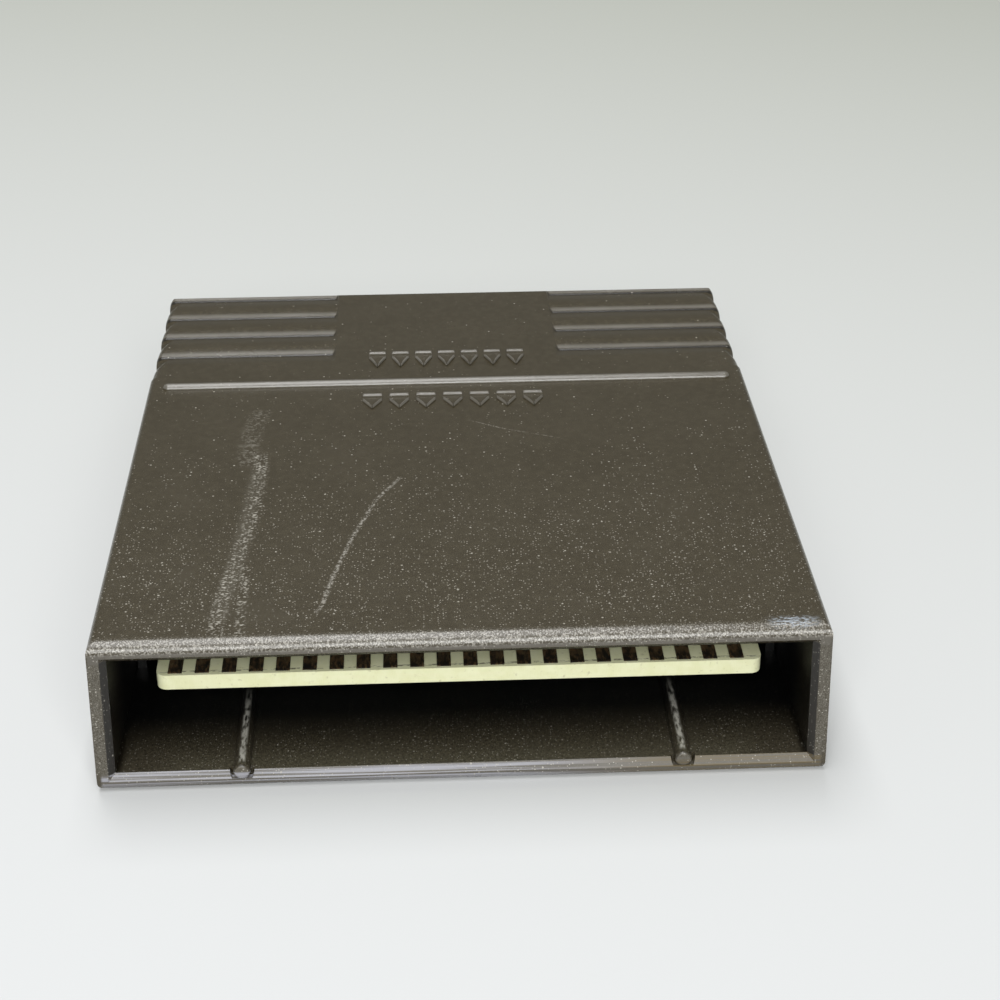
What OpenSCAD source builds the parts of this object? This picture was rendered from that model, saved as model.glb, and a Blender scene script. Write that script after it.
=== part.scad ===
// Game cartridge lying label side down, with the connector mouth facing -Y.
// Two moulded shells and one screw hold a card-edge circuit board.
// The origin is under the middle of the case, where it rests.

/* [Case] */
// Width of the case at the seam, its widest place
case_w = 68; // [67:0.5:72]
// Length of the case from the mouth to the grip end
case_l = 79.2; // [76:0.4:90]
// Thickness of the whole case
case_h = 16; // [15:0.5:18]
// Thickness of the label-side shell, up to the seam
plate_t = 1.7; // [1.6:0.1:2]
// Thickness of the upright walls
side_wall = 1.7; // [1.5:0.1:2]
// Thickness of the top shell's roof
roof_t = 1.9; // [1.8:0.1:2.2]
// Draft of the outer walls, in degrees
draft = 1.5; // [0.5:0.25:2]

/* [Edges] */
// Radius along the top shell's two long edges, in front of the grips
side_edge_r = 0.8; // [0.5:0.1:1.2]
// Radius along the roof's edge over the mouth
front_edge_r = 1.15; // [0.8:0.05:1.15]
// Radius along the roof's edge at the grip end
rear_edge_r = 1; // [0.6:0.1:1.4]
// Radius of the two upright corners at the grip end
corner_r = 1.6; // [1.2:0.2:2.6]
// Radius round the foot of the label-side shell
foot_r = 1; // [0.6:0.1:1]
// Chamfer round the inside of the mouth
mouth_chamfer = 0.63; // [0.4:0.05:0.7]

/* [Grips] */
// Distance from one grip valley to the next
lobe_pitch = 5.4; // [4.8:0.2:6]
// Number of full lobes between the valleys
lobe_count = 3; // [2:1:4]
// Depth of a valley below the lobes' crests
valley_depth = 0.4; // [0.3:0.05:0.5]
// Distance from the last valley to the grip end
end_lobe = 1.6; // [1.4:0.2:2.4]
// Width of the smooth field between the grips
field_w = 25.6; // [20:1:32]
// Slope at the inner end of each valley, in degrees
runout = 40; // [30:5:60]
// Radius along the two long edges over which the grips turn
wrap_r = 1.3; // [1.1:0.1:1.6]
// Distance by which the valleys run towards the mouth as they turn down the sides
side_shift = 2.9; // [1.5:0.2:3.1]
// Depth of the side lobes' crests below the plain side
side_sink = 0.1; // [0.05:0.05:0.2]

/* [Raised bar] */
// Width of the bar across the roof
bar_w = 1.2; // [0.8:0.1:1.6]
// Height of the bar above the roof
bar_h = 0.5; // [0.3:0.05:0.55]
// Distance of the bar from the grip end
bar_from_end = 26.4; // [24:0.8:32]
// Distance of each end of the bar from the case's side
bar_inset = 1.7; // [1.5:0.1:5]

/* [Circuit board] */
// Width of the board
board_w = 57.5; // [57.5:0.5:60]
// Length of the board
board_l = 53; // [52:1:56]
// Thickness of the board
board_t = 1.57; // [1.4:0.05:1.7]
// Distance of the board's front edge behind the mouth
board_set = 7.04; // [5:0.5:9]
// Height of the board's underside over the table
board_z = 6.49; // [6.4:0.1:7]
// Radius of the board's front corners
board_corner = 1; // [0.5:0.25:2]
// Distance from one contact to the next
contact_pitch = 2.54; // [2.4:0.02:2.54]
// Number of contacts on each side
contact_count = 22; // [12:1:22]
// Width of a contact
contact_w = 1.33; // [1:0.1:1.6]
// Length of a contact
contact_l = 8.5; // [6:0.5:9]
// Thickness of a contact
contact_t = 0.1; // [0.05:0.05:0.15]
// Shift of the row of contacts to the left of the board's middle
contact_shift = 0.3; // [0:0.1:0.5]

/* [Memory chips] */
// Width of a memory chip's body
chip_w = 13.8; // [13:0.2:14]
// Length of a memory chip's body
chip_l = 31.8; // [30.5:0.5:33]
// Thickness of every chip's body
chip_t = 3.6; // [3.2:0.1:3.8]
// Distance between a memory chip's two rows of leads
chip_rows = 15.24; // [15:0.1:15.5]
// Leads in one row of a memory chip
chip_leads = 12; // [8:1:12]
// Distance of each memory chip's middle from the case's middle
chip_x = 15; // [14.5:0.25:16]
// Distance of the memory chips' middle behind the board's front edge
chip_set = 26; // [25.5:0.5:28]
// Gap between a chip's body and the board
chip_gap = 0.5; // [0.3:0.1:0.6]

/* [Logic chip] */
// Width of the logic chip's body
logic_w = 6.4; // [6:0.2:6.6]
// Length of the logic chip's body
logic_l = 19.3; // [18:0.5:20]
// Distance between the logic chip's two rows of leads
logic_rows = 7.62; // [7.5:0.1:8]
// Leads in one row of the logic chip
logic_leads = 7; // [5:1:7]

/* [Leads and small parts] */
// Distance from one lead of a chip to the next
lead_pitch = 2.54; // [2.4:0.02:2.54]
// Width of a chip's lead
lead_w = 0.5; // [0.4:0.05:0.6]
// Thickness of a chip's lead
lead_t = 0.25; // [0.2:0.05:0.3]
// Diameter of the plated holes for leads and wires
lead_hole = 0.9; // [0.8:0.05:1]
// Diameter of a capacitor's glazed body
cap_d = 2.5; // [2:0.1:3]
// Length of a capacitor's glazed body
cap_l = 4.2; // [3.6:0.2:5]
// Diameter of the resistor's body
resistor_d = 2.2; // [1.8:0.1:2.5]
// Length of the resistor's body
resistor_l = 6.2; // [5.5:0.2:6.6]
// Diameter of the wires of the small parts
wire_d = 0.5; // [0.4:0.05:0.6]
// Distance between the two holes of a small part
wire_span = 10.16; // [9.5:0.1:10.5]
// Distance of the resistor in front of the memory chips' middle
resistor_ahead = 9; // [7:0.5:12]

/* [Fixings] */
// Diameter of the case screw's shank
screw_d = 2.8; // [2.5:0.1:3]
// Length of the case screw's shank
screw_l = 9.5; // [8:0.5:10]
// Diameter of the case screw's head
screw_head_d = 5.2; // [4.8:0.2:5.4]
// Thickness of the case screw's head
screw_head_t = 1.9; // [1.6:0.1:2.1]
// Depth of the screw's head below the label-side face
screw_sink = 0.8; // [0.5:0.1:1]
// Distance of the screw behind the mouth
screw_y = 34; // [31:1:37]
// Diameter of the post that takes the screw
post_d = 6.6; // [6.2:0.2:6.8]
// Diameter of the two pegs that locate the board
peg_d = 3; // [2.6:0.1:3.2]
// Diameter of the pillars under and over the board
pillar_d = 4.4; // [4.2:0.2:5]
// Distance of the pegs in from the board's side edges
peg_inset = 3.6; // [3.4:0.1:4]
// Distance of the pegs in from the board's rear edge
peg_back = 4.6; // [4:0.2:6]
// Distance of the front pillars behind the board's front edge
pillar_set = 12; // [11.5:0.5:14]
// Clearance round a peg, post or screw
clearance = 0.15; // [0.1:0.05:0.2]

/* [Guide ribs] */
// Radius of the two round ribs on the mouth's floor
guide_r = 0.8; // [0.6:0.1:0.9]
// Distance between the two ribs
guide_span = 41.2; // [36:1:44]
// Length of the ribs behind the mouth
guide_l = 16; // [8:1:17]
// Width of the gap between each rib's nose and the mouth's chamfer
guide_gap = 0.35; // [0.2:0.05:0.5]

/* [Label side] */
// Depth of the bare recess for a label
recess_d = 0.3; // [0.2:0.05:0.4]
// Distance from the recess to the case's sides and mouth
recess_rim = 4; // [3:0.5:8]
// Height of the locating lip inside the seam
lip_h = 1.2; // [0.8:0.1:1.6]
// Thickness of the locating lip
lip_t = 0.9; // [0.8:0.1:1.2]
// Distance of the lip's front ends behind the mouth
lip_set = 18; // [10:1:20]

/* [Hidden] */
$fn = 64;
eps = 0.01;

case_color = [0.34, 0.32, 0.28];
board_color = [0.83, 0.83, 0.66];
contact_color = [0.18, 0.12, 0.08];
chip_color = [0.1, 0.1, 0.11];
lead_color = [0.72, 0.72, 0.7];
solder_color = [0.66, 0.67, 0.68];
cap_color = [0.72, 0.45, 0.2];
resistor_color = [0.74, 0.64, 0.45];
screw_color = [0.5, 0.5, 0.52];

// A flat face that only just clears the face opposite
seat_gap = 0.05;

half_w = case_w / 2;
slope = tan(draft);
roof_z = case_h - roof_t;
inner_x = half_w - side_wall;
inner_y = case_l - (roof_z - plate_t) * slope - side_wall;
front_r = min(front_edge_r, roof_t - mouth_chamfer - 0.1);
low_r = min(foot_r, plate_t - mouth_chamfer - 0.05);

// Half the width of the case at height z above the seam
function out_x(z) = half_w - (z - plate_t) * slope;

// Each side of a valley is an arc about the middle of the next lobe's crest,
// and crest_half is half of the crest's narrow flat
crest_half = 0.4;
lobe_drop = (pow(lobe_pitch / 2, 2) - pow(crest_half, 2) + pow(valley_depth, 2))
    / (2 * valley_depth);
lobe_r = sqrt(pow(crest_half, 2) + pow(lobe_drop, 2));
grip_y = case_l - end_lobe - (lobe_count + 0.5) * lobe_pitch;
// The softer edges start a little ahead of the side valleys
wrap_y = grip_y - side_shift - 0.3;

bar_y = case_l - bar_from_end;
bar_r = (pow(bar_w / 2, 2) + pow(bar_h, 2)) / (2 * bar_h);
bar_x = out_x(case_h) - bar_inset - bar_w / 2;

board_top = board_z + board_t;
board_back = board_set + board_l;
peg_x = board_w / 2 - peg_inset;
peg_y = board_back - peg_back;
peg_rise = 1.2;
pillar_x = board_w / 2 - pillar_d / 2 - 0.4;
pillar_y = board_set + pillar_set;

chip_y = board_set + chip_set;
chip_z = board_z - chip_gap - chip_t;
lead_z = chip_z + chip_t / 2;
logic_y = chip_y + chip_l / 2 + 1 + logic_rows / 2;
cap_x = logic_l / 2 + wire_span / 2 + 1.8;
resistor_y = chip_y - resistor_ahead;
small_gap = 0.25;

head_z = screw_sink + screw_head_t;
boss_top = head_z + 1.4;
boss_d = screw_head_d + 3;

// Every hole of the board that a lead or a wire comes through
lead_holes = concat(
    [for (s = [-1, 1], r = [-1, 1], i = [0 : chip_leads - 1])
        [s * chip_x + r * chip_rows / 2, chip_y + row_step(i, chip_leads)]],
    [for (r = [-1, 1], i = [0 : logic_leads - 1])
        [row_step(i, logic_leads), logic_y + r * logic_rows / 2]],
    [for (s = [-1, 1], e = [-1, 1])
        [s * cap_x + e * wire_span / 2, logic_y]],
    [for (e = [-1, 1])
        [e * wire_span / 2, resistor_y]]
);

// Place of lead i in a row of n, about the row's middle
function row_step(i, n) = (i - (n - 1) / 2) * lead_pitch;

// Everything is drawn from the mouth's plane and then centred on the origin
module place() {
    translate([0, -case_l / 2, 0])
        children();
}

// Draws a shape on the right and its mirror image on the left
module both_sides() {
    for (m = [0, 1])
        mirror([m, 0, 0])
            children();
}

// Runs a profile in Y and Z from x0 to x1
module along_x(x0, x1) {
    translate([x0, 0, 0])
        rotate([90, 0, 90])
            linear_extrude(x1 - x0)
                children();
}

// Runs a profile in X and Z from y0 to y1
module along_y(y0, y1) {
    translate([0, y1, 0])
        rotate([90, 0, 0])
            linear_extrude(y1 - y0)
                children();
}

// A rectangle with round corners
module round_rect(x0, x1, y0, y1, r) {
    translate([x0 + r, y0])
        square([x1 - x0 - 2 * r, y1 - y0]);
    translate([x0, y0 + r])
        square([x1 - x0, y1 - y0 - 2 * r]);
    for (x = [x0 + r, x1 - r], y = [y0 + r, y1 - r])
        translate([x, y])
            circle(r);
}

// Cross-section of the top shell's outside, with round top corners
module roof_section(r) {
    z = case_h - r;
    x = out_x(z) - r / cos(draft);
    polygon([
        [-half_w, plate_t], [half_w, plate_t],
        [x + r * cos(draft), z + r * sin(draft)], [x, case_h],
        [-x, case_h], [-x - r * cos(draft), z + r * sin(draft)],
    ]);
    for (s = [-1, 1])
        translate([s * x, z])
            circle(r);
}

// Side view of the top shell's outside, round over the mouth and at its end
module roof_profile() {
    z = case_h - rear_edge_r;
    y = case_l - (z - plate_t) * slope - rear_edge_r / cos(draft);
    polygon([
        [0, plate_t], [case_l, plate_t],
        [y + rear_edge_r * cos(draft), z + rear_edge_r * sin(draft)],
        [y, case_h], [front_r, case_h], [0, case_h - front_r],
    ]);
    translate([y, z])
        circle(rear_edge_r);
    translate([front_r, case_h - front_r])
        circle(front_r);
}

// A strip as thick as the label-side shell, with its two lower corners round
module foot_strip(x0, x1) {
    intersection() {
        translate([x0, 0])
            square([x1 - x0, plate_t]);
        union() {
            translate([x0 + low_r, 0])
                square([x1 - x0 - 2 * low_r, plate_t]);
            translate([x0, low_r])
                square([x1 - x0, plate_t]);
            for (x = [x0 + low_r, x1 - low_r])
                translate([x, low_r])
                    circle(low_r);
        }
    }
}

// What is cut off to round the upright corners at the grip end. The tool's
// round is a hair wider than the corner, so that it crosses both walls.
module corner_cut(z0, z1, taper) {
    wide = corner_r + 0.02;
    tall = z1 - z0 + 1;
    both_sides()
        translate([half_w - corner_r, case_l - corner_r, 0])
            difference() {
                translate([0, 0, z0 - 1])
                    cube([corner_r + 1, corner_r + 1, tall + 1]);
                translate([0, 0, z0 - 2])
                    cylinder(h = tall + 3, r1 = wide + 2 * taper, r2 = wide - (tall + 1) * taper);
            }
}

// The valleys as one area to cut, along the case: the lobes' crests lie at
// -sink, and the whole row is moved towards the mouth by ahead
module valley_line(ahead, sink) {
    front = grip_y - ahead;
    difference() {
        translate([front, -valley_depth - sink - 0.5])
            square([case_l + 1 - front, valley_depth + sink + 1.5]);
        for (k = [0 : lobe_count + 1])
            translate([front + k * lobe_pitch, -lobe_drop - sink])
                circle(lobe_r, $fn = 256);
    }
}

// The valleys cut along a straight line that faces outwards at an angle
module valley_run(x, z, facing, l, ahead, sink) {
    both_sides()
        translate([x, 0, z])
            rotate([0, -facing, 0])
                translate([0, 0, -l / 2])
                    linear_extrude(l)
                        mirror([1, -1, 0])
                            valley_line(ahead, sink);
}

// The grip valleys of the roof: over the top, round each edge, down each side
module roof_valleys() {
    x = out_x(case_h - wrap_r) - wrap_r / cos(draft);
    field_x = field_w / 2;
    reach = 3 / tan(runout);
    both_sides()
        intersection() {
            translate([0, 0, case_h])
                along_x(field_x - 4, half_w + 1)
                    valley_line(0, 0);
            along_y(grip_y - 1, case_l + 5)
                polygon([
                    [field_x + reach, case_h - 3], [half_w + 2, case_h - 3],
                    [half_w + 2, case_h + 3], [field_x - reach, case_h + 3],
                ]);
        }
    for (turn = [22.5 : 22.5 : 67.5])
        valley_run(x + wrap_r * sin(turn), case_h - wrap_r + wrap_r * cos(turn),
            90 - turn, 8, side_shift * turn / 90, 0);
    valley_run(half_w, plate_t, draft, 4 * case_h, side_shift, side_sink);
}

// The flared edge of the mouth, widening towards -Y
module mouth_flare() {
    c = mouth_chamfer;
    intersection() {
        both_sides()
            translate([inner_x, 0, plate_t])
                rotate([0, -draft, 0])
                    translate([0, 0, -plate_t - 1])
                        linear_extrude(case_h + 2)
                            polygon([[-inner_x - 1, -1], [c + 1, -1], [0, c], [-inner_x - 1, c]]);
        along_x(-half_w, half_w)
            polygon([
                [-1, plate_t - c - 1], [c, plate_t], [c, roof_z], [-1, roof_z + c + 1],
            ]);
    }
}

// The top shell's hollow
module roof_hollow() {
    high_x = inner_x - (roof_z - plate_t) * slope;
    low_x = inner_x + slope;
    along_y(-1, inner_y)
        polygon([
            [-low_x, plate_t - 1], [low_x, plate_t - 1], [high_x, roof_z], [-high_x, roof_z],
        ]);
}

// A post under the roof, down to z, blind-bored from its foot
module roof_post(x, y, z, d, bore_d, bore_l) {
    translate([x, y, z])
        difference() {
            cylinder(h = roof_z - z + 0.5, d = d);
            translate([0, 0, -1])
                cylinder(h = bore_l + 1, d = bore_d);
        }
}

module top_shell() {
    color(case_color)
        place() {
            difference() {
                intersection() {
                    along_x(-half_w - 1, half_w + 1)
                        roof_profile();
                    union() {
                        along_y(0, wrap_y)
                            roof_section(side_edge_r);
                        along_y(wrap_y, case_l)
                            roof_section(wrap_r);
                    }
                }
                corner_cut(plate_t, case_h, slope);
                roof_valleys();
                roof_hollow();
                mouth_flare();
            }
            raised_bar();
            roof_post(0, screw_y, boss_top + seat_gap, post_d,
                screw_d + 2 * seat_gap, head_z + screw_l - boss_top + 0.8);
            for (s = [-1, 1]) {
                roof_post(s * peg_x, peg_y, board_top + seat_gap, peg_d + 2.6,
                    peg_d + 2 * clearance, peg_rise + 0.4);
                translate([s * pillar_x, pillar_y, board_top + seat_gap])
                    cylinder(h = roof_z - board_top, d = pillar_d);
            }
        }
}

// The half-round bar across the roof
module raised_bar() {
    translate([0, bar_y, case_h + bar_h - bar_r])
        intersection() {
            union() {
                rotate([0, 90, 0])
                    cylinder(h = 2 * bar_x, r = bar_r, center = true);
                for (s = [-1, 1])
                    translate([s * bar_x, 0, 0])
                        sphere(bar_r);
            }
            translate([-half_w, -bar_w, -bar_h])
                cube([case_w, 2 * bar_w, 3 * bar_h]);
        }
}

module bottom_shell() {
    color(case_color)
        place() {
            difference() {
                union() {
                    intersection() {
                        along_x(-half_w - 1, half_w + 1)
                            foot_strip(0, case_l);
                        along_y(0, case_l)
                            foot_strip(-half_w, half_w);
                    }
                    translate([0, screw_y, 0])
                        cylinder(h = boss_top, d = boss_d);
                }
                corner_cut(0, plate_t, 0);
                valley_run(half_w, 0, 0, 4 * plate_t, side_shift, side_sink);
                mouth_flare();
                guide_gaps();
                label_recess();
                translate([0, screw_y, -1]) {
                    cylinder(h = boss_top + 2, d = screw_d + 2 * clearance);
                    cylinder(h = head_z + 1, d = screw_head_d + 2 * clearance);
                }
            }
            seam_lip();
            for (s = [-1, 1]) {
                guide_rib(s * guide_span / 2);
                translate([s * pillar_x, pillar_y, plate_t - eps])
                    cylinder(h = board_z - plate_t + eps, d = pillar_d);
                translate([s * peg_x, peg_y, plate_t - eps]) {
                    cylinder(h = board_z - plate_t + eps, d = pillar_d);
                    cylinder(h = board_top + peg_rise - plate_t, d = peg_d);
                }
            }
        }
}

// A bare, shallow field on the label side, clear of the grips
module label_recess() {
    translate([0, 0, -1])
        linear_extrude(1 + recess_d)
            round_rect(-half_w + recess_rim, half_w - recess_rim,
                recess_rim, grip_y - 1, 2);
}

// The lip that locates the top shell's walls, open towards the mouth
module seam_lip() {
    out_lip = inner_x - clearance - lip_h * slope;
    back_lip = inner_y - clearance;
    translate([0, 0, plate_t - eps])
        linear_extrude(lip_h + eps)
            difference() {
                translate([-out_lip, lip_set])
                    square([2 * out_lip, back_lip - lip_set]);
                translate([-out_lip + lip_t, lip_set - 1])
                    square([2 * (out_lip - lip_t), back_lip - lip_t - lip_set + 1]);
            }
}

// A round rib that runs in from the mouth along the floor, with a round nose
module guide_rib(x) {
    nose = guide_r * 0.4;
    translate([x, guide_l, plate_t + 0.05])
        rotate([90, 0, 0]) {
            rotate_extrude() {
                square([guide_r, guide_l - nose]);
                square([guide_r - nose, guide_l]);
                translate([guide_r - nose, guide_l - nose])
                    circle(nose);
            }
            sphere(guide_r);
        }
}

// Takes the mouth's chamfer away round the noses of the two ribs
module guide_gaps() {
    gap_r = guide_r + guide_gap;
    for (s = [-1, 1])
        translate([s * guide_span / 2, 0, 0])
            intersection() {
                translate([0, -1, plate_t + 0.05])
                    rotate([-90, 0, 0])
                        cylinder(h = mouth_chamfer + 1.6, r = gap_r);
                translate([-gap_r - 1, -2, plate_t - mouth_chamfer])
                    cube([2 * gap_r + 2, mouth_chamfer + 4, 3]);
            }
}

module circuit_board() {
    c = board_corner;
    x = board_w / 2;
    rear = board_back - board_set - c;
    color(board_color)
        place()
            translate([0, 0, board_z])
                difference() {
                    linear_extrude(board_t) {
                        translate([-x + c, board_set])
                            square([board_w - 2 * c, rear + c]);
                        translate([-x, board_set + c])
                            square([board_w, rear]);
                        for (s = [-1, 1])
                            translate([s * (x - c), board_set + c])
                                circle(c);
                    }
                    for (p = lead_holes)
                        board_hole(p[0], p[1], lead_hole);
                    board_hole(0, screw_y, post_d + 2 * clearance);
                    for (s = [-1, 1])
                        board_hole(s * peg_x, peg_y, peg_d + 2 * clearance);
                }
}

module board_hole(x, y, d) {
    translate([x, y, -1])
        cylinder(h = board_t + 2, d = d);
}

// One row of contact fingers, each narrowing to its track at the rear
module contact_row(z) {
    neck = contact_w / 4;
    color(contact_color)
        place()
            translate([-contact_shift, board_set + 0.3, z])
                for (i = [0 : contact_count - 1])
                    translate([(i - (contact_count - 1) / 2) * contact_pitch, 0, 0])
                        linear_extrude(contact_t)
                            polygon([
                                [-contact_w / 2, 0], [contact_w / 2, 0],
                                [contact_w / 2, contact_l - contact_w], [neck, contact_l],
                                [-neck, contact_l], [-contact_w / 2, contact_l - contact_w],
                            ]);
}

module contacts_top() {
    contact_row(board_top);
}

module contacts_bottom() {
    contact_row(board_z - contact_t);
}

// A moulded chip body lying along Y, with drafted ends and sides
module chip_body(w, l) {
    land = lead_t / 2;
    half_t = chip_t / 2;
    draw_in = (half_t - land) * tan(7);
    color(chip_color)
        intersection() {
            along_y(-l / 2, l / 2)
                chip_outline(w / 2, land, half_t, draw_in);
            along_x(-w / 2, w / 2)
                chip_outline(l / 2, land, half_t, draw_in);
            difference() {
                translate([-w, -l, -chip_t])
                    cube([2 * w, 2 * l, 2 * chip_t]);
                translate([0, -l / 2, -half_t - 1])
                    cylinder(h = chip_t / 2 + 1, d = chip_t / 2);
            }
        }
}

module chip_outline(reach, land, half_t, draw_in) {
    polygon([
        [-reach, -land], [-reach, land], [-reach + draw_in, half_t],
        [reach - draw_in, half_t], [reach, land], [reach, -land],
        [reach - draw_in, -half_t], [-reach + draw_in, -half_t],
    ]);
}

// Both rows of leads of a chip that lies along Y: each comes out of the
// body's side, turns up and ends at the board's far face
module chip_lead_rows(w, rows, n) {
    rise = board_top - lead_z;
    color(lead_color)
        both_sides()
            for (i = [0 : n - 1])
                translate([0, row_step(i, n) + lead_w / 2, 0])
                    rotate([90, 0, 0])
                        linear_extrude(lead_w)
                            polygon([
                                [w / 2, -lead_t / 2], [rows / 2 + lead_t / 2, -lead_t / 2],
                                [rows / 2 + lead_t / 2, rise], [rows / 2 - lead_t / 2, rise],
                                [rows / 2 - lead_t / 2, lead_t / 2], [w / 2, lead_t / 2],
                            ]);
}

// Stands a memory chip's part at its place, on the left or the right
module at_rom(side) {
    place()
        translate([side * chip_x, chip_y, lead_z])
            children();
}

// Stands the logic chip's part at its place, lying across the board
module at_logic() {
    place()
        translate([0, logic_y, lead_z])
            rotate([0, 0, 90])
                children();
}

module rom_body_left() {
    at_rom(-1)
        chip_body(chip_w, chip_l);
}

module rom_body_right() {
    at_rom(1)
        chip_body(chip_w, chip_l);
}

module rom_leads_left() {
    at_rom(-1)
        chip_lead_rows(chip_w, chip_rows, chip_leads);
}

module rom_leads_right() {
    at_rom(1)
        chip_lead_rows(chip_w, chip_rows, chip_leads);
}

module logic_body() {
    at_logic()
        chip_body(logic_w, logic_l);
}

module logic_leads() {
    at_logic()
        chip_lead_rows(logic_w, logic_rows, logic_leads);
}

// A cone of solder over every lead, on the board's far face
module solder_joints() {
    color(solder_color)
        place()
            for (p = lead_holes)
                translate([p[0], p[1], board_top])
                    cylinder(h = 0.6, r1 = lead_hole / 2 + 0.25, r2 = lead_hole / 4, $fn = 24);
}

// Stands a small part of diameter d under the board, lying along X
module at_small(x, y, d) {
    place()
        translate([x, y, board_z - small_gap - d / 2])
            children();
}

// A bead with round shoulders and flat ends
module bead(d, l) {
    r = d / 5;
    rotate([0, 90, 0])
        translate([0, 0, -l / 2])
            rotate_extrude() {
                square([d / 2 - r, l]);
                translate([0, r])
                    square([d / 2, l - 2 * r]);
                for (z = [r, l - r])
                    translate([d / 2 - r, z])
                        circle(r);
            }
}

// The two wires of a bead of diameter d and length l, bent up into the board
module bead_wires(d, l) {
    rise = board_top - board_z + small_gap + d / 2;
    both_sides() {
        translate([l / 2, 0, 0])
            rotate([0, 90, 0])
                cylinder(h = wire_span / 2 - l / 2, d = wire_d);
        translate([wire_span / 2, 0, 0]) {
            sphere(d = wire_d);
            cylinder(h = rise, d = wire_d);
        }
    }
}

module capacitor_left() {
    color(cap_color)
        at_small(-cap_x, logic_y, cap_d)
            bead(cap_d, cap_l);
}

module capacitor_right() {
    color(cap_color)
        at_small(cap_x, logic_y, cap_d)
            bead(cap_d, cap_l);
}

module capacitor_leads() {
    color(lead_color)
        for (s = [-1, 1])
            at_small(s * cap_x, logic_y, cap_d)
                bead_wires(cap_d, cap_l);
}

module resistor_body() {
    color(resistor_color)
        at_small(0, resistor_y, resistor_d)
            bead(resistor_d, resistor_l);
}

module resistor_leads() {
    color(lead_color)
        at_small(0, resistor_y, resistor_d)
            bead_wires(resistor_d, resistor_l);
}

// A self-tapping screw with a domed, cross-slotted head
module case_screw() {
    head_r = screw_head_d / 2;
    tip = screw_d * 0.8;
    color(screw_color)
        place()
            translate([0, screw_y, head_z])
                difference() {
                    rotate_extrude()
                        polygon([
                            [0, -screw_head_t], [head_r * 0.7, -screw_head_t],
                            [head_r, -screw_head_t * 0.6], [head_r, 0],
                            [screw_d / 2, 0], [screw_d / 2, screw_l - tip], [0, screw_l],
                        ]);
                    for (turn = [0, 90])
                        rotate([0, 0, turn])
                            translate([-head_r * 0.55, -0.4, -screw_head_t - 1])
                                cube([head_r * 1.1, 0.8, 2]);
                }
}

top_shell();
bottom_shell();
circuit_board();
contacts_top();
contacts_bottom();
rom_body_left();
rom_body_right();
rom_leads_left();
rom_leads_right();
logic_body();
logic_leads();
solder_joints();
capacitor_left();
capacitor_right();
capacitor_leads();
resistor_body();
resistor_leads();
case_screw();
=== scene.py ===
import math

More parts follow.
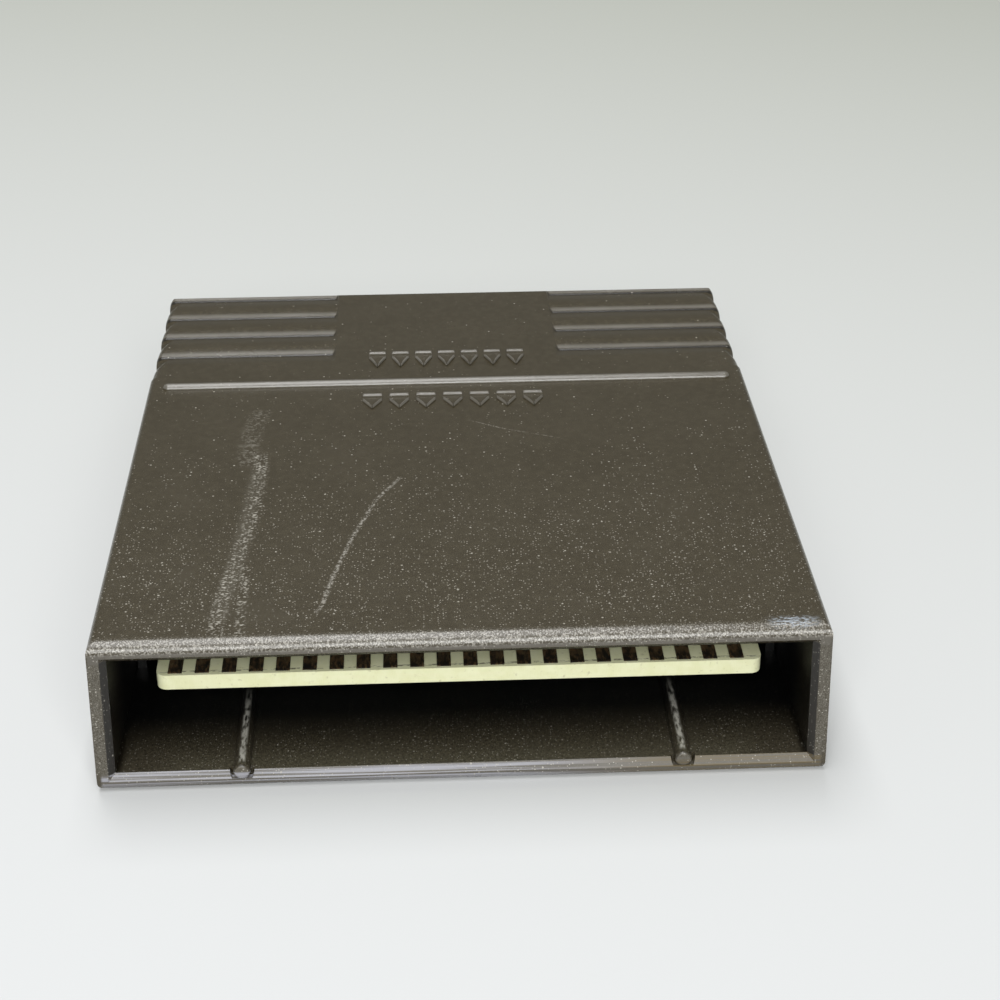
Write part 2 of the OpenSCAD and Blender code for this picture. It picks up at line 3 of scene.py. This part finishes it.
import bmesh
import bpy
from mathutils import Euler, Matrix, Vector


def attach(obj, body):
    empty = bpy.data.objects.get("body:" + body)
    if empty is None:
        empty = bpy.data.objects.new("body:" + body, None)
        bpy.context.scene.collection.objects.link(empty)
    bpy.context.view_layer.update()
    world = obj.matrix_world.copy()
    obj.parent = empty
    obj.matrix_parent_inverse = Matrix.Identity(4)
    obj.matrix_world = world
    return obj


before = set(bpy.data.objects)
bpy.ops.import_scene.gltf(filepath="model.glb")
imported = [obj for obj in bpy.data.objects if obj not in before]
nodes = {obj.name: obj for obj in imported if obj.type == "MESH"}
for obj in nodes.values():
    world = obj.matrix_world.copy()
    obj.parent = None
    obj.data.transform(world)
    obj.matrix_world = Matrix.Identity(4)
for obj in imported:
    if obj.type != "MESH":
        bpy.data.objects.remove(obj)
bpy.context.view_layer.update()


# ---- The circuit board ----
# Glass cloth pressed in pale resin, 1.57 mm thick, sawn and routed to shape.
# Green mask is printed on both faces, and stops short of the contacts.
class Tone:
    """A value on the surface of a piece. Sums on tones add Math nodes."""

    def __init__(self, tree, socket=None):
        self.tree = tree
        self.socket = socket

    def node(self, kind, sockets=(), output=0, **settings):
        """Adds a node: its settings first, then its sockets' values or links."""
        made = self.tree.nodes.new(kind)
        for name, setting in settings.items():
            if name == "stops":
                for stop in made.color_ramp.elements[2:]:
                    made.color_ramp.elements.remove(stop)
                while len(made.color_ramp.elements) < len(setting):
                    made.color_ramp.elements.new(1)
                for stop, (place, color) in zip(made.color_ramp.elements, setting):
                    stop.position = place
                    stop.color = color
            else:
                setattr(made, name, setting)
        for key, value in dict(sockets).items():
            if isinstance(value, Tone):
                self.tree.links.new(value.socket, made.inputs[key])
            else:
                made.inputs[key].default_value = value
        return Tone(self.tree, made.outputs[output])

    def sum(self, operation, *values):
        return self.node("ShaderNodeMath", dict(enumerate(values)), operation=operation)

    def __add__(self, other):
        return self.sum("ADD", self, other)

    def __sub__(self, other):
        return self.sum("SUBTRACT", self, other)

    def __mul__(self, other):
        return self.sum("MULTIPLY", self, other)

    def __truediv__(self, other):
        return self.sum("DIVIDE", self, other)

    def __abs__(self):
        return self.sum("ABSOLUTE", self)

    def __radd__(self, other):
        return self.sum("ADD", other, self)

    def __rsub__(self, other):
        return self.sum("SUBTRACT", other, self)

    def __rmul__(self, other):
        return self.sum("MULTIPLY", other, self)

    def step(self, low, high):
        """0 below low, 1 above high, and a smooth rise between them."""
        return self.node(
            "ShaderNodeMapRange",
            {"Value": self, "From Min": low, "From Max": high},
            interpolation_type="SMOOTHSTEP",
        )

    def fade(self, low, high):
        """1 below low, 0 above high, and a smooth fall between them."""
        return 1 - self.step(low, high)

    def noise(self, scale, detail=2.0, roughness=0.5):
        """Noise between 0 and 1, with self as its place."""
        return self.node(
            "ShaderNodeTexNoise",
            {"Vector": self, "Scale": scale, "Detail": detail, "Roughness": roughness},
        )

    def stretch(self, by):
        return self.node("ShaderNodeVectorMath", {0: self, 1: by}, operation="MULTIPLY")

    def mix(self, first, second):
        """The first colour where self is 0, the second where it is 1."""
        return self.node(
            "ShaderNodeMix", {0: self, 6: first, 7: second}, 2, data_type="RGBA"
        )

    def bump(self, depth, under=None, strength=1.0):
        """A normal for a surface that rises by depth, in metres, where self is 1."""
        sockets = {"Height": self, "Distance": depth, "Strength": strength}
        if under:
            sockets["Normal"] = under
        return self.node("ShaderNodeBump", sockets)

    def feed(self, shader, name):
        self.tree.links.new(self.socket, shader.inputs[name])


def make_finish(name):
    """A new material, its shader, and the place of its surface in millimetres."""
    material = bpy.data.materials.new(name)
    material.use_nodes = True
    tree = material.node_tree
    here = Tone(tree).node("ShaderNodeTexCoord", output="Object")
    place = here.stretch((1000, 1000, 1000))
    return material, tree.nodes["Principled BSDF"], place


def axes(place):
    return [place.node("ShaderNodeSeparateXYZ", {0: place}, k) for k in range(3)]


def paint(node, material):
    for material_slot in nodes[node].material_slots:
        material_slot.material = material


def rgb(red, green, blue):
    return (red, green, blue, 1)


# Places in millimetres: the board's front edge, its middle height and where
# the contacts end
board_front = -32.56
board_middle = 7.275
contact_end = -23.76

board_finish, shader, place = make_finish("board_laminate")
x, y, z = axes(place)
resin = rgb(0.76, 0.77, 0.50)
mottle = place.noise(0.9, 3)
fibre = place.stretch((14, 14, 1.2)).noise(1, 2)
pale = mottle.step(0.3, 0.7).mix(rgb(0.70, 0.71, 0.42), resin)
pale = (fibre * 0.5).mix(pale, rgb(0.80, 0.80, 0.58))
stain = place.noise(2.2, 4).step(0.60, 0.78) * 0.4
pale = stain.mix(pale, rgb(0.32, 0.28, 0.15))
on_face = abs(z - board_middle).step(0.74, 0.78)
# a ragged line of dirt along the front ends of the contacts
scraped = abs(y - board_front - 0.62).fade(0.06, 0.2) * on_face
scraped = scraped * place.stretch((1.3, 4, 1)).noise(1, 3, 0.7).step(0.46, 0.56)
pale = (0.8 * scraped).mix(pale, rgb(0.06, 0.05, 0.03))
masked = (y - contact_end).step(0.9, 1.1) * on_face
tracks = place.stretch((0.39, 0.02, 0)).noise(9, 0).step(0.5, 0.53)
mask_green = tracks.mix(rgb(0.012, 0.07, 0.028), rgb(0.03, 0.13, 0.05))
masked.mix(pale, mask_green).feed(shader, "Base Color")
(0.55 - 0.25 * masked + 0.1 * mottle).feed(shader, "Roughness")
(fibre + mottle).bump(0.00001).feed(shader, "Normal")
shader.inputs["Specular IOR Level"].default_value = 0.4
paint("circuit_board", board_finish)


# ---- The contacts ----
# Strips of copper foil on both faces of the board, plated, and now tarnished
# dark brown. They are black at the front and have a few rubbed patches.
contact_finish, shader, place = make_finish("tarnished_contact")
x, y, z = axes(place)
tarnish = place.stretch((1.5, 0.7, 1)).noise(1.5, 4, 0.65)
rubbed = place.stretch((1.6, 0.5, 1)).noise(1.9, 3).step(0.52, 0.68)
plating = tarnish.step(0.42, 0.58).mix(rgb(0.008, 0.006, 0.003), rgb(0.100, 0.060, 0.026))
plating = (rubbed * 0.5).mix(plating, rgb(0.26, 0.20, 0.11))
soot = (y - board_front).fade(0.7, 2.4)
soot = soot * place.stretch((3, 1, 1)).noise(1.5, 3).step(0.4, 0.55)
plating = (0.85 * soot).mix(plating, rgb(0.006, 0.005, 0.003))
plating.feed(shader, "Base Color")
(0.6 * rubbed + 0.1).feed(shader, "Metallic")
(0.60 - 0.2 * rubbed).feed(shader, "Roughness")
tarnish.bump(0.00002).feed(shader, "Normal")
paint("contacts_top", contact_finish)
paint("contacts_bottom", contact_finish)


# ---- The chips ----
# Two memory chips and one logic chip, moulded in black epoxy with a matte
# skin, on rows of tinned leads that pass through the board.
chip_finish, shader, place = make_finish("chip_epoxy")
grain = place.noise(7, 3)
smear = place.noise(0.35, 3)
grain.step(0.3, 0.7).mix(rgb(0.012, 0.012, 0.013), rgb(0.03, 0.03, 0.032)).feed(
    shader, "Base Color"
)
(0.5 + 0.2 * smear).feed(shader, "Roughness")
grain.bump(0.00003).feed(shader, "Normal")
for node in ("rom_body_left", "rom_body_right", "logic_body"):
    paint(node, chip_finish)

lead_finish, shader, place = make_finish("tinned_lead")
dull = place.noise(3, 4)
dull.mix(rgb(0.32, 0.32, 0.31), rgb(0.62, 0.61, 0.58)).feed(shader, "Base Color")
shader.inputs["Metallic"].default_value = 1
(0.28 + 0.3 * dull).feed(shader, "Roughness")
place.noise(9, 2).bump(0.00001).feed(shader, "Normal")
for node in ("rom_leads_left", "rom_leads_right", "logic_leads"):
    paint(node, lead_finish)
for node in ("capacitor_leads", "resistor_leads"):
    paint(node, lead_finish)


# ---- The solder ----
# Cones of tin and lead where each wire comes through the board, with a film
# of old flux round them.
solder_finish, shader, place = make_finish("solder")
film = place.noise(1.4, 3).step(0.45, 0.7)
film.mix(rgb(0.62, 0.62, 0.60), rgb(0.42, 0.36, 0.24)).feed(shader, "Base Color")
(1 - 0.4 * film).feed(shader, "Metallic")
(0.22 + 0.25 * film).feed(shader, "Roughness")
place.noise(5, 3).bump(0.00002).feed(shader, "Normal")
paint("solder_joints", solder_finish)


# ---- The capacitors and the resistor ----
# Small beads dipped in lacquer on their wires. The resistor has four painted
# bands round it, the capacitors are plain.
bead_finish, shader, place = make_finish("capacitor_lacquer")
cloud = place.noise(1.3, 3)
cloud.mix(rgb(0.42, 0.14, 0.03), rgb(0.62, 0.28, 0.07)).feed(shader, "Base Color")
(0.15 + 0.2 * cloud).feed(shader, "Roughness")
place.noise(3, 2).bump(0.00002).feed(shader, "Normal")
shader.inputs["Coat Weight"].default_value = 0.5
paint("capacitor_left", bead_finish)
paint("capacitor_right", bead_finish)

resistor_finish, shader, place = make_finish("resistor_lacquer")
x, y, z = axes(place)
cloud = place.noise(1.5, 3)
lacquer = cloud.mix(rgb(0.46, 0.34, 0.18), rgb(0.56, 0.43, 0.25))
for at, band in (
    (-1.9, rgb(0.14, 0.05, 0.02)),
    (-0.9, rgb(0.01, 0.01, 0.01)),
    (0.1, rgb(0.38, 0.03, 0.02)),
    (1.9, rgb(0.45, 0.3, 0.08)),
):
    lacquer = abs(x - at).fade(0.26, 0.3).mix(lacquer, band)
lacquer.feed(shader, "Base Color")
(0.25 + 0.2 * cloud).feed(shader, "Roughness")
place.noise(3, 2).bump(0.00002).feed(shader, "Normal")
paint("resistor_body", resistor_finish)


# ---- The case ----
# Two shells of dark brown-grey plastic, moulded with a fine sparked grain.
# The roof is scuffed where it was pushed in and out of the console.
# Places in millimetres: the flat roof, the mouth's front face, its ceiling and
# sides, the guide ribs, the first grip valley and where the grips start
roof = 16.0
front = -39.6
mouth_ceiling = 14.2
mouth_side = 33.0
rib_x = 20.6
first_valley = 21.8
valley_pitch = 5.4
grip_side = 12.6
# a pale colour for dust and rubbed marks, also used for painted glints
pale_dust_and_glint = rgb(0.42, 0.40, 0.35)


def line_mask(across, along, points, half_width):
    """1 on a worn line through these points, 0 beside it and past its ends."""
    first, last = points[0][1], points[-1][1]
    low = min(p[0] for p in points) - 1
    span = max(p[0] for p in points) + 1 - low
    stops = [
        ((v - first) / (last - first), (*[(u - low) / span] * 3, 1)) for u, v in points
    ]
    middle = along.node(
        "ShaderNodeValToRGB", {0: (along - first) / (last - first)}, stops=stops
    )
    beside = abs(across - middle * span - low)
    ends = along.step(first - 0.5, first + 1) * along.fade(last - 1, last + 0.5)
    return beside.fade(0.2 * half_width, half_width) * ends


def specks(place, scale, radius, share):
    """Round specks of this radius, in millimetres, in a share of the cells."""
    cell = {"Vector": place, "Scale": scale}
    apart = place.node("ShaderNodeTexVoronoi", cell)
    color = place.node("ShaderNodeTexVoronoi", cell, 1)
    chance = color.node("ShaderNodeSeparateColor", {0: color}, 0)
    round_speck = apart.fade(0.4 * radius * scale, radius * scale)
    return round_speck * chance.step(1 - share, 1.3 - share)


def scuff_marks(place, x, y):
    """Where the console rubbed the roof into rows of small dots and dashes."""
    ripple = specks(place.stretch((0.75, 1.3, 1)), 2.5, 0.17, 0.80)
    ripple = ripple + 0.7 * specks(place.stretch((1.2, 1.9, 1)), 2.6, 0.19, 0.80)
    dots = specks(place, 2.3, 0.13, 0.35)
    smudge = place.noise(2.6, 3, 0.65).step(0.45, 0.7)
    left_track = [
        (-22.4, -39.3),
        (-22.2, -33.9),
        (-21.0, -24),
        (-20.2, -18),
        (-19.9, -8),
        (-20.0, -3),
    ]
    left_branch = [(-20.0, -39.3), (-20.1, -32.2), (-20.2, -26)]
    left_end = [(-21.4, -6), (-21.3, 1), (-20.6, 7)]
    right_track = [(20.9, -39.3), (20.8, -21.2), (20.3, -9), (19.2, 4)]
    left_haze = [(-22.2, -36), (-21, -24), (-20, -6)]
    return (
        line_mask(x, y, left_track, 1.1) * ripple
        + 0.9 * line_mask(x, y, left_branch, 0.7) * ripple
        + 0.35 * line_mask(x, y, left_end, 1.6) * smudge
        + 0.9 * line_mask(x, y, right_track, 1.8) * dots
        + 0.06 * line_mask(x, y, left_haze, 1.3)
    )


def scratches(place, x, y):
    """Two thin scratches in the roof, one long and one faint."""
    long_scratch = [
        (-13.2, -34.8),
        (-12.7, -33.4),
        (-11.7, -27.9),
        (-10.1, -21.1),
        (-7.9, -13.8),
        (-5.5, -9.2),
    ]
    faint_scratch = [(11.8, -1.2), (5.8, 1.3), (2.1, 3.5)]
    cut = 0.75 * line_mask(x, y, long_scratch, 0.34)
    cut = cut + 0.4 * line_mask(x, y, faint_scratch, 0.28)
    return cut * place.noise(3.6, 3, 0.7).step(0.46, 0.6)


def wear_roof(color, place, fine, cloud):
    """The roof's colour, with painted shade and painted highlights in its grip valleys,
    its scuffs and scratches, and painted glints along its front edge.
    """
    x, y, z = axes(place)
    depth = y - front
    # painted shade along the bottom of each grip valley
    row = (y - first_valley) / valley_pitch
    behind = (row - row.sum("ROUND", row)) * valley_pitch
    field = abs(x).step(grip_side, grip_side + 0.8) * (y - 20).step(0, 0.5)
    field = field * z.step(14.9, 15.3)
    valley_shade = 0.85 * field * abs(behind).fade(0.12, 0.4)
    color = valley_shade.mix(color, rgb(0.004, 0.003, 0.002))
    # and a painted highlight on the slope behind it
    valley_highlight = field * behind.step(0.30, 0.55) * behind.fade(0.65, 1.3)
    color = (0.5 * valley_highlight * (0.3 + cloud)).mix(color, rgb(0.20, 0.19, 0.17))
    up = (z - roof).step(-0.06, -0.02)
    rub = scuff_marks(place, x, y) * up * (0.6 + 0.6 * fine)
    color = (0.8 * rub).mix(color, pale_dust_and_glint)
    # a pale bruise by the corner over the mouth
    bruise = abs(x - 30.2).fade(0.6, 3.0) * abs(y + 38.3).fade(0.3, 1.1)
    bruise = bruise * place.stretch((0.8, 2, 2)).noise(2.6, 4, 0.7).step(0.44, 0.58)
    color = (0.8 * bruise * z.step(15.5, 15.7)).mix(color, rgb(0.42, 0.47, 0.53))
    color = (0.75 * scratches(place, x, y) * up).mix(color, rgb(0.42, 0.40, 0.36))
    # painted glints on the grain's peaks along the edge over the mouth
    painted_edge_glints = depth.fade(0.8, 1.7) * (z - roof).step(-1.1, -0.8)
    painted_edge_glints = painted_edge_glints * place.noise(6, 2).step(0.48, 0.60)
    return (0.48 * painted_edge_glints).mix(color, rgb(0.40, 0.38, 0.34))


def make_plastic(name, worn):
    """The case's plastic, with painted light and shade. Where worn, the roof also has its
    scuffs, and painted shade and highlights in its grip valleys.
    """
    material, shader, place = make_finish(name)
    x, y, z = axes(place)
    depth = y - front
    grain = place.noise(5.5, 2, 0.6)
    fine = place.noise(14, 1)
    cloud = place.noise(0.16, 3)
    near = depth.fade(0, 75)
    nearest = depth.fade(6, 42)
    # the outside is dulled by handling, and the hollow is painted near black as painted
    # shade, darker still deep inside
    shaded_hollow = depth.step(0.03, 0.06) * depth.fade(77.3, 77.6)
    shaded_hollow = shaded_hollow * abs(x).fade(mouth_side, mouth_side + 0.2)
    shaded_hollow = shaded_hollow * z.step(1.62, 1.68) * z.fade(mouth_ceiling, mouth_ceiling + 0.2)
    color = cloud.mix(rgb(0.031, 0.024, 0.012), rgb(0.041, 0.033, 0.018))
    mottle = 0.5 * place.noise(1.4, 4).step(0.35, 0.7)
    color = mottle.mix(color, rgb(0.053, 0.044, 0.026))
    peaks = (0.45 + 0.35 * nearest) * fine.step(0.5, 0.75)
    color = peaks.mix(color, rgb(0.088, 0.074, 0.048))
    color = shaded_hollow.mix(color, rgb(0.009, 0.007, 0.004))
    color = (shaded_hollow * depth.step(4, 10)).mix(color, rgb(0.002, 0.002, 0.002))
    gloss = 0.22 + 0.08 * cloud + 0.06 * shaded_hollow
    # dust on the floor of the mouth, with painted light falling in from the opening and
    # fading inwards
    inside = abs(x).fade(31.5, 32.2) * z.step(1.5, 1.65) * z.fade(3, 6)
    dust_and_inlight = inside * depth.fade(1, 10)
    dust_and_inlight = dust_and_inlight * (0.3 + 0.9 * place.noise(3.5, 4, 0.7).step(0.3, 0.7))
    color = (0.45 * dust_and_inlight).mix(color, rgb(0.11, 0.095, 0.065))
    # a painted highlight along the crests of the guide ribs
    painted_crest_highlight = abs(abs(x) - rib_x).fade(0.12, 0.42) * z.step(2.3, 2.5) * z.fade(2.7, 3)
    painted_crest_highlight = painted_crest_highlight * depth.step(0.4, 1.2) * depth.fade(5, 14) * inside
    painted_crest_highlight = painted_crest_highlight * place.stretch((2, 0.5, 2)).noise(2, 3).step(0.35, 0.6)
    color = (0.8 * painted_crest_highlight).mix(color, rgb(0.45, 0.44, 0.40))
    # the front faces of the mouth, and the flare of its lower side, rubbed smooth in fine
    # streaks; their lighter colour is painted light from the front
    lip = depth.fade(0.03, 0.06)
    low = z.fade(1.72, 1.85)
    flare = depth.fade(0.60, 0.72) * low
    rim = lip * z.fade(15.0, 15.3) + flare * (1 - lip)
    rim = rim * abs(x).fade(33.4, 33.7)
    sides = lip * z.step(1.9, 2.2) * z.fade(13.9, 14.3)
    streak = place.stretch((0.03, 4.5, 4.5)).noise(1, 3).step(0.42, 0.58)
    reflecting_left = x.fade(4, 22)
    color = (rim * (0.3 + 0.25 * fine) * (1 - sides)).mix(color, rgb(0.14, 0.13, 0.115))
    color = (sides * fine.step(0.42, 0.62)).mix(color, rgb(0.115, 0.105, 0.085))
    # painted reflection of the lamp in the flare's streaks: bluish white on the left,
    # duller brown on the right
    color = (low * rim * streak * reflecting_left).mix(color, rgb(0.28, 0.28, 0.31))
    color = (low * rim * streak * (1 - reflecting_left)).mix(color, rgb(0.10, 0.075, 0.035))
    gloss = gloss + 0.02 * rim + 0.16 * rim * (1 - reflecting_left)
    # painted highlight on the raised bar and marks, which are also polished glossier by
    # hands
    proud_highlight = (z - roof).step(0.06, 0.16)
    color = (0.45 * proud_highlight * (0.4 + cloud)).mix(color, rgb(0.22, 0.21, 0.19))
    gloss = gloss - 0.06 * proud_highlight
    if worn:
        color = wear_roof(color, place, fine, cloud)
    # pale specks on the grain, thicker towards the mouth: partly dust caught in it,
    # partly painted glints
    patchy = near * (0.3 + 1.2 * place.noise(0.11, 2).step(0.36, 0.62))
    glint_and_dust_specks = specks(place, 1.15, 0.13, 0.25 + 0.35 * patchy)
    glint_and_dust_specks = glint_and_dust_specks + 0.8 * specks(place, 2.7, 0.085, 0.12 + 0.45 * patchy)
    glint_and_dust_specks = glint_and_dust_specks + specks(place, 3.9, 0.075, 0.05 + 0.42 * nearest)
    # painted shade: fewer pale specks deep in the hollow
    glint_and_dust_specks = glint_and_dust_specks * (1 - shaded_hollow * (0.45 + 0.5 * depth.step(3, 10)))
    (0.8 * glint_and_dust_specks).mix(color, pale_dust_and_glint).feed(shader, "Base Color")
    gloss.feed(shader, "Roughness")
    shader.inputs["Specular IOR Level"].default_value = 0.65
    smooth = 1 - 0.9 * rim * (1 - sides)
    ((grain + 0.4 * fine) * smooth).bump(0.00002).feed(shader, "Normal")
    return material


case_finish = make_plastic("case_plastic", True)
label_side_finish = make_plastic("label_side_plastic", False)
paint("top_shell", case_finish)
paint("bottom_shell", label_side_finish)

# The marks stand 0.28 mm proud of the roof, moulded with it: two rows of
# arrowheads that point the way the mouth goes in.
mark_sink = 0.05
mark_height = 0.33
mark_rounding = 0.26
mesh = bpy.data.meshes.new("direction_marks")
marks = bmesh.new()


def add_stroke(corners):
    """A raised stroke between four corners, with its top edges rounded off."""
    foot = [marks.verts.new((u, v, roof - mark_sink)) for u, v in corners]
    base = marks.faces.new(foot)
    raised = bmesh.ops.extrude_face_region(marks, geom=[base])["geom"]
    top = [v for v in raised if isinstance(v, bmesh.types.BMVert)]
    bmesh.ops.translate(marks, verts=top, vec=(0, 0, mark_height))
    bmesh.ops.bevel(
        marks,
        geom=[e for e in raised if isinstance(e, bmesh.types.BMEdge)],
        offset=mark_rounding,
        offset_type="OFFSET",
        affect="EDGES",
        segments=3,
        profile=0.5,
        material=-1,
    )


def add_arrowhead(x, y, width, depth):
    """An arrowhead that points towards -Y, with a bar behind it."""
    for side in (-width / 2, width / 2):
        add_stroke(
            [
                (x, y),
                (x + side, y + depth - 1.7),
                (x + side, y + depth - 0.9),
                (x, y + 0.8),
            ]
        )
    add_stroke(
        [
            (x - width / 2, y + depth - 0.6),
            (x + width / 2, y + depth - 0.6),
            (x + width / 2, y + depth),
            (x - width / 2, y + depth),
        ]
    )


for k in range(7):
    add_arrowhead(-7.95 + 2.65 * k, 17.2, 2.0, 4.1)
    add_arrowhead(-8.45 + 2.97 * k, 6.6, 2.2, 3.7)
bmesh.ops.scale(marks, vec=(0.001, 0.001, 0.001), verts=marks.verts)
bmesh.ops.recalc_face_normals(marks, faces=marks.faces)
marks.to_mesh(mesh)
marks.free()
direction_marks = bpy.data.objects.new("direction_marks", mesh)
bpy.context.collection.objects.link(direction_marks)
mesh.materials.append(label_side_finish)
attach(direction_marks, "root")


# ---- The screw ----
# One zinc-plated screw holds the shells together, up through the label side
# into the post under the roof.
screw_finish, shader, place = make_finish("zinc_plate")
tarnish = place.noise(1.1, 4)
tarnish.mix(rgb(0.40, 0.40, 0.41), rgb(0.62, 0.61, 0.60)).feed(shader, "Base Color")
shader.inputs["Metallic"].default_value = 1
(0.25 + 0.25 * tarnish).feed(shader, "Roughness")
place.stretch((1, 1, 0)).noise(8, 2).bump(0.00001).feed(shader, "Normal")
paint("case_screw", screw_finish)


# ---- The floor, the lights and the camera ----
# A pale table, painted darker towards the back as painted falloff of light, under a soft
# lamp overhead and another in front of the mouth, seen from in front and above.
floor_finish, shader, place = make_finish("pale_floor")
x, y, z = axes(place)
# painted falloff of light: darker and warmer towards the back, and a little towards the
# right
painted_falloff = (y + 0.3 * x).step(-150, 420)
painted_falloff.mix(rgb(0.575, 0.585, 0.595), rgb(0.40, 0.415, 0.365)).feed(shader, "Base Color")
shader.inputs["Roughness"].default_value = 0.9
shader.inputs["Specular IOR Level"].default_value = 0.1
floor_mesh = bpy.data.meshes.new("floor")
sheet = bmesh.new()
bmesh.ops.create_grid(sheet, x_segments=1, y_segments=1, size=2.5)
sheet.to_mesh(floor_mesh)
sheet.free()
floor = bpy.data.objects.new("floor", floor_mesh)
bpy.context.collection.objects.link(floor)
floor_mesh.materials.append(floor_finish)


def add_lamp(name, place, aim, size, power, color):
    """A soft rectangular lamp at a place in metres, turned to face its aim."""
    light = bpy.data.lights.new(name, "AREA")
    light.shape = "RECTANGLE"
    light.size, light.size_y = size
    light.energy = power
    light.color = color
    lamp = bpy.data.objects.new(name, light)
    bpy.context.collection.objects.link(lamp)
    lamp.location = place
    toward = Vector(aim) - Vector(place)
    lamp.rotation_euler = toward.to_track_quat("-Z", "Y").to_euler()


add_lamp("high_lamp", (-0.07, 0.04, 0.70), (-0.07, 0.04, 0), (0.32, 0.85), 5.0, (1, 1, 1))
add_lamp("front_lamp", (0, -0.98, 0.62), (0, 0, 0), (0.9, 0.5), 12.8, (1, 1, 0.98))

world = bpy.data.worlds.new("studio")
bpy.context.scene.world = world
world.use_nodes = True
sky = world.node_tree.nodes["Background"]
sky.inputs["Color"].default_value = rgb(0.90, 0.92, 0.90)
sky.inputs["Strength"].default_value = 0.22

lens = bpy.data.cameras.new("camera")
lens.lens = 72
lens.sensor_width = 36
lens.clip_start = 0.01
camera = bpy.data.objects.new("camera", lens)
bpy.context.collection.objects.link(camera)
camera.location = (-0.003419, -0.19029, 0.11413)
camera.rotation_euler = Euler(
    (math.radians(60.8633), math.radians(0.1296), math.radians(-2.6831))
)
bpy.context.scene.camera = camera
bpy.context.scene.view_settings.view_transform = "Standard"
